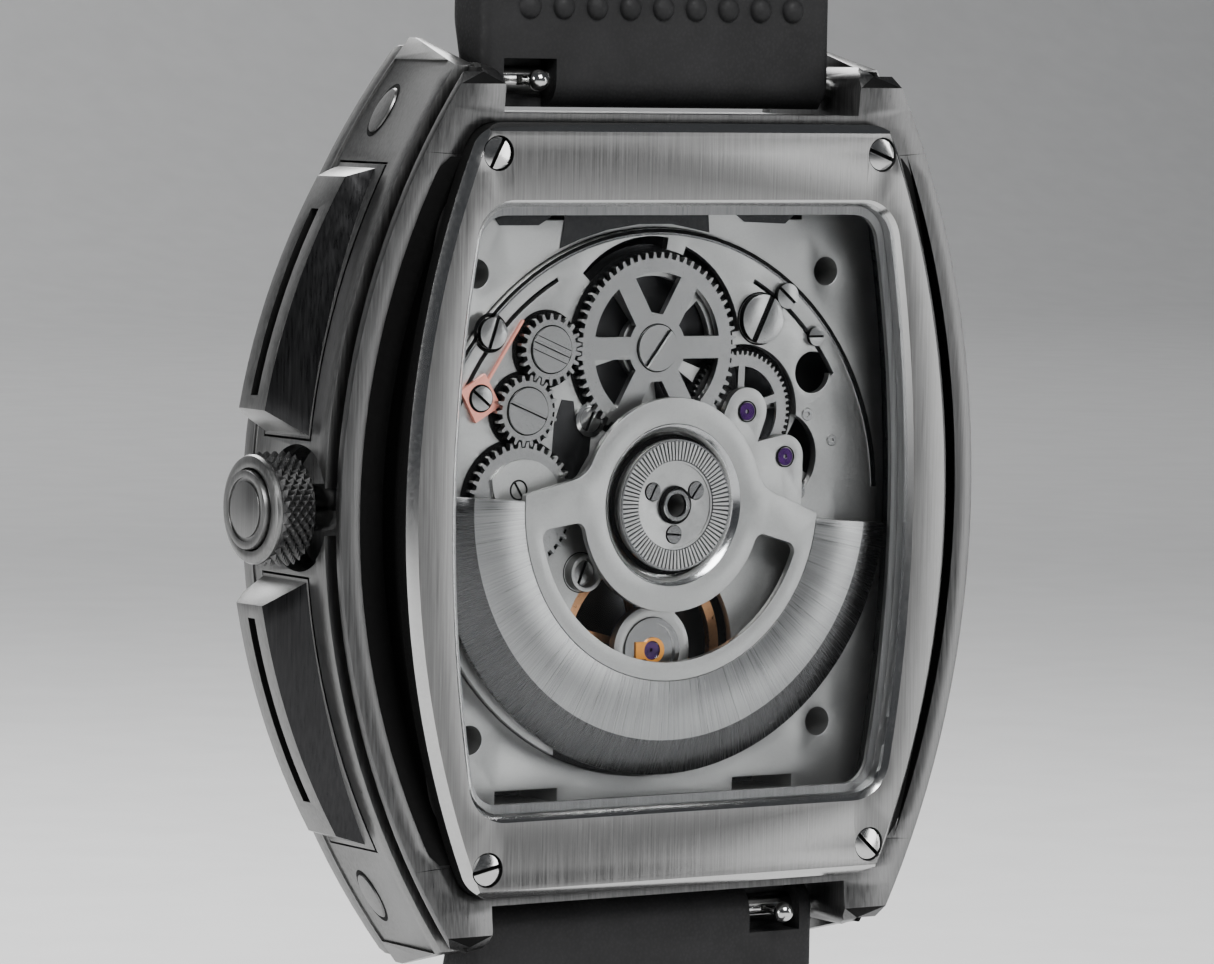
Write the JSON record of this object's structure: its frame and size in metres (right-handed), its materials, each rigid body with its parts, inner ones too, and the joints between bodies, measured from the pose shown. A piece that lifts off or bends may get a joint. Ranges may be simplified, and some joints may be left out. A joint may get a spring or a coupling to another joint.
{
  "type": "wristwatch",
  "caption": "Automatic wristwatch seen from behind: bulged tonneau steel case with a windowed back, skeleton movement, crown, bar pushers and a rubber strap",
  "frame": {"origin": "centre of the back plate's outer face, on the axis of the rotor and the hands", "axes": "+X towards the crown, +Y out of the case back towards the wrist, +Z towards 12 o'clock; the dial faces -Y"},
  "size_m": [0.0421, 0.0833, 0.1812],
  "materials": {
    "case_steel": "satin brushed",
    "polished_steel": "polished",
    "black_coating": "matte black",
    "crystal": "clear",
    "seal": "matte",
    "rhodium_plate": "fine satin",
    "wheel_steel": "circular satin",
    "gilt": "satin gilt",
    "ruby": "polished",
    "pink_gold": "satin",
    "blue_steel": "blued",
    "red_lacquer": "gloss",
    "dial_black": "matte black",
    "strap_rubber": "matte textured"
  },
  "bodies": {
    "case": {"mid_case": "case_steel", "groove_band": "black_coating", "side_plate_crown": "case_steel", "side_plate_left": "case_steel", "front_bezel": "case_steel", "front_crystal": "crystal", "back_plate": "case_steel", "back_crystal": "crystal", "back_gasket": "seal", "back_screws": "polished_steel", "crown_tube": "polished_steel", "dial_ring": "dial_black", "hour_markers": "polished_steel", "movement_holder": "rhodium_plate", "main_plate": "rhodium_plate", "barrel_bridge": "rhodium_plate", "train_bridge": "rhodium_plate", "balance_cock": "rhodium_plate", "jewels": "ruby", "shock_setting": "gilt", "bridge_screws": "polished_steel", "click_spring": "pink_gold", "crown_wheel_cover": "rhodium_plate", "bearing_disc": "rhodium_plate", "bearing_screws": "polished_steel"},
    "rotor": {"rotor_plate": "rhodium_plate", "rotor_weight": "rhodium_plate", "rotor_hub_ring": "polished_steel"},
    "ratchet": {"ratchet_wheel": "wheel_steel"},
    "barrel": {"barrel_drum": "gilt"},
    "winding_a": {"winding_wheel_a": "wheel_steel"},
    "winding_b": {"winding_wheel_b": "wheel_steel"},
    "crown_gear": {"crown_wheel": "wheel_steel"},
    "third": {"third_wheel": "wheel_steel"},
    "fourth": {"fourth_wheel": "wheel_steel"},
    "escape": {"escape_wheel": "wheel_steel"},
    "pallet": {"pallet_fork": "wheel_steel"},
    "balance": {"balance_wheel": "gilt", "hairspring": "blue_steel"},
    "minute": {"centre_wheel": "gilt", "minute_hand": "polished_steel"},
    "hour": {"hour_hand": "polished_steel"},
    "seconds": {"seconds_hand": "red_lacquer"},
    "stem_slide": {"setting_lever": "wheel_steel"},
    "crown": {"stem": "polished_steel", "crown_body": "case_steel", "crown_cap": "case_steel"},
    "pusher_upper": {"upper_pusher": "case_steel"},
    "pusher_lower": {"lower_pusher": "case_steel"},
    "strap_12": {"strap_short": "strap_rubber", "spring_bar_short": "polished_steel", "buckle_bar": "polished_steel", "fixed_keeper": "strap_rubber"},
    "knob_12": {"release_knob_short": "polished_steel"},
    "buckle": {"buckle_frame": "case_steel"},
    "tongue": {"buckle_tongue": "polished_steel"},
    "keeper": {"free_keeper": "strap_rubber"},
    "strap_6": {"strap_long": "strap_rubber", "spring_bar_long": "polished_steel"},
    "knob_6": {"release_knob_long": "polished_steel"}
  },
  "joints": [
    {"name": "rotor_spin", "type": "hinge", "parent": "case", "child": "rotor", "pos_m": [0, 0, 0], "axis": [0, 1, 0], "continuous": true},
    {"name": "crown_pull", "type": "slide", "parent": "case", "child": "stem_slide", "axis": [1, 0, 0], "range_m": [0, 0.0012]},
    {"name": "crown_turn", "type": "hinge", "parent": "stem_slide", "child": "crown", "pos_m": [0, -0.0066, 0], "axis": [1, 0, 0], "continuous": true},
    {"name": "ratchet_turn", "type": "hinge", "parent": "case", "child": "ratchet", "pos_m": [0.00038, -0.003, 0.00805], "axis": [0, 1, 0], "continuous": true},
    {"name": "winding_a_turn", "type": "hinge", "parent": "case", "child": "winding_a", "pos_m": [0.0069, -0.003, 0.00805], "axis": [0, 1, 0], "continuous": true},
    {"name": "winding_b_turn", "type": "hinge", "parent": "case", "child": "winding_b", "pos_m": [0.00829, -0.003, 0.00493], "axis": [0, 1, 0], "continuous": true},
    {"name": "crown_gear_turn", "type": "hinge", "parent": "case", "child": "crown_gear", "pos_m": [0.00854, -0.003, 0.00013], "axis": [0, 1, 0], "continuous": true},
    {"name": "fourth_turn", "type": "hinge", "parent": "case", "child": "fourth", "pos_m": [-0.00789, -0.004, 0.00224], "axis": [0, 1, 0], "continuous": true},
    {"name": "third_turn", "type": "hinge", "parent": "case", "child": "third", "pos_m": [-0.00541, -0.004, 0.00465], "axis": [0, 1, 0], "continuous": true},
    {"name": "escape_turn", "type": "hinge", "parent": "case", "child": "escape", "pos_m": [-0.00579, -0.004, -0.0003], "axis": [0, 1, 0], "continuous": true},
    {"name": "barrel_turn", "type": "hinge", "parent": "case", "child": "barrel", "pos_m": [0.00038, -0.004, 0.00805], "axis": [0, 1, 0], "continuous": true},
    {"name": "minute_turn", "type": "hinge", "parent": "case", "child": "minute", "pos_m": [0, -0.009, 0], "axis": [0, 1, 0], "continuous": true},
    {"name": "hour_turn", "type": "hinge", "parent": "case", "child": "hour", "pos_m": [0, -0.009, 0], "axis": [0, 1, 0], "continuous": true},
    {"name": "seconds_turn", "type": "hinge", "parent": "case", "child": "seconds", "pos_m": [0, -0.009, 0], "axis": [0, 1, 0], "continuous": true},
    {"name": "pallet_rock", "type": "hinge", "parent": "case", "child": "pallet", "pos_m": [-0.00413, -0.0045, -0.00231], "axis": [0, 1, 0], "range_deg": [-5, 5]},
    {"name": "balance_swing", "type": "hinge", "parent": "case", "child": "balance", "pos_m": [0.00027, -0.004, -0.00763], "axis": [0, 1, 0], "range_deg": [-270, 270], "stiffness_Nm_per_rad": 0.0000005},
    {"name": "pusher_upper_press", "type": "slide", "parent": "case", "child": "pusher_upper", "axis": [-1, 0, 0], "range_m": [0, 0.0005], "stiffness_N_per_m": 4000},
    {"name": "pusher_lower_press", "type": "slide", "parent": "case", "child": "pusher_lower", "axis": [-1, 0, 0], "range_m": [0, 0.0005], "stiffness_N_per_m": 4000},
    {"name": "strap_12_fold", "type": "hinge", "parent": "case", "child": "strap_12", "pos_m": [0, -0.0045, 0.02175], "axis": [1, 0, 0], "range_deg": [-30, 20]},
    {"name": "knob_12_slide", "type": "slide", "parent": "strap_12", "child": "knob_12", "axis": [-1, 0, 0], "range_m": [0, 0.0012], "stiffness_N_per_m": 400},
    {"name": "buckle_swing", "type": "hinge", "parent": "strap_12", "child": "buckle", "pos_m": [0, 0.03052, 0.08104], "axis": [1, 0, 0], "range_deg": [-60, 60]},
    {"name": "tongue_swing", "type": "hinge", "parent": "buckle", "child": "tongue", "pos_m": [0, 0.03052, 0.08104], "axis": [1, 0, 0], "range_deg": [0, 60]},
    {"name": "keeper_slide", "type": "slide", "parent": "strap_12", "child": "keeper", "axis": [0, 0.788, 0.6157], "range_m": [0, 0.006]},
    {"name": "strap_6_fold", "type": "hinge", "parent": "case", "child": "strap_6", "pos_m": [0, -0.0045, -0.02175], "axis": [1, 0, 0], "range_deg": [-20, 30]},
    {"name": "knob_6_slide", "type": "slide", "parent": "strap_6", "child": "knob_6", "axis": [1, 0, 0], "range_m": [0, 0.0012], "stiffness_N_per_m": 400}
  ],
  "couplings": [
    {"joint": "crown_gear_turn", "follows": "crown_turn", "ratio": 1},
    {"joint": "winding_b_turn", "follows": "crown_turn", "ratio": -1.8182},
    {"joint": "winding_a_turn", "follows": "crown_turn", "ratio": 1.8182},
    {"joint": "ratchet_turn", "follows": "crown_turn", "ratio": -0.64516},
    {"joint": "third_turn", "follows": "fourth_turn", "ratio": -0.13333},
    {"joint": "escape_turn", "follows": "fourth_turn", "ratio": -10},
    {"joint": "minute_turn", "follows": "fourth_turn", "ratio": 0.016667},
    {"joint": "hour_turn", "follows": "fourth_turn", "ratio": 0.0013889},
    {"joint": "seconds_turn", "follows": "fourth_turn", "ratio": 1},
    {"joint": "barrel_turn", "follows": "fourth_turn", "ratio": -0.002381}
  ]
}
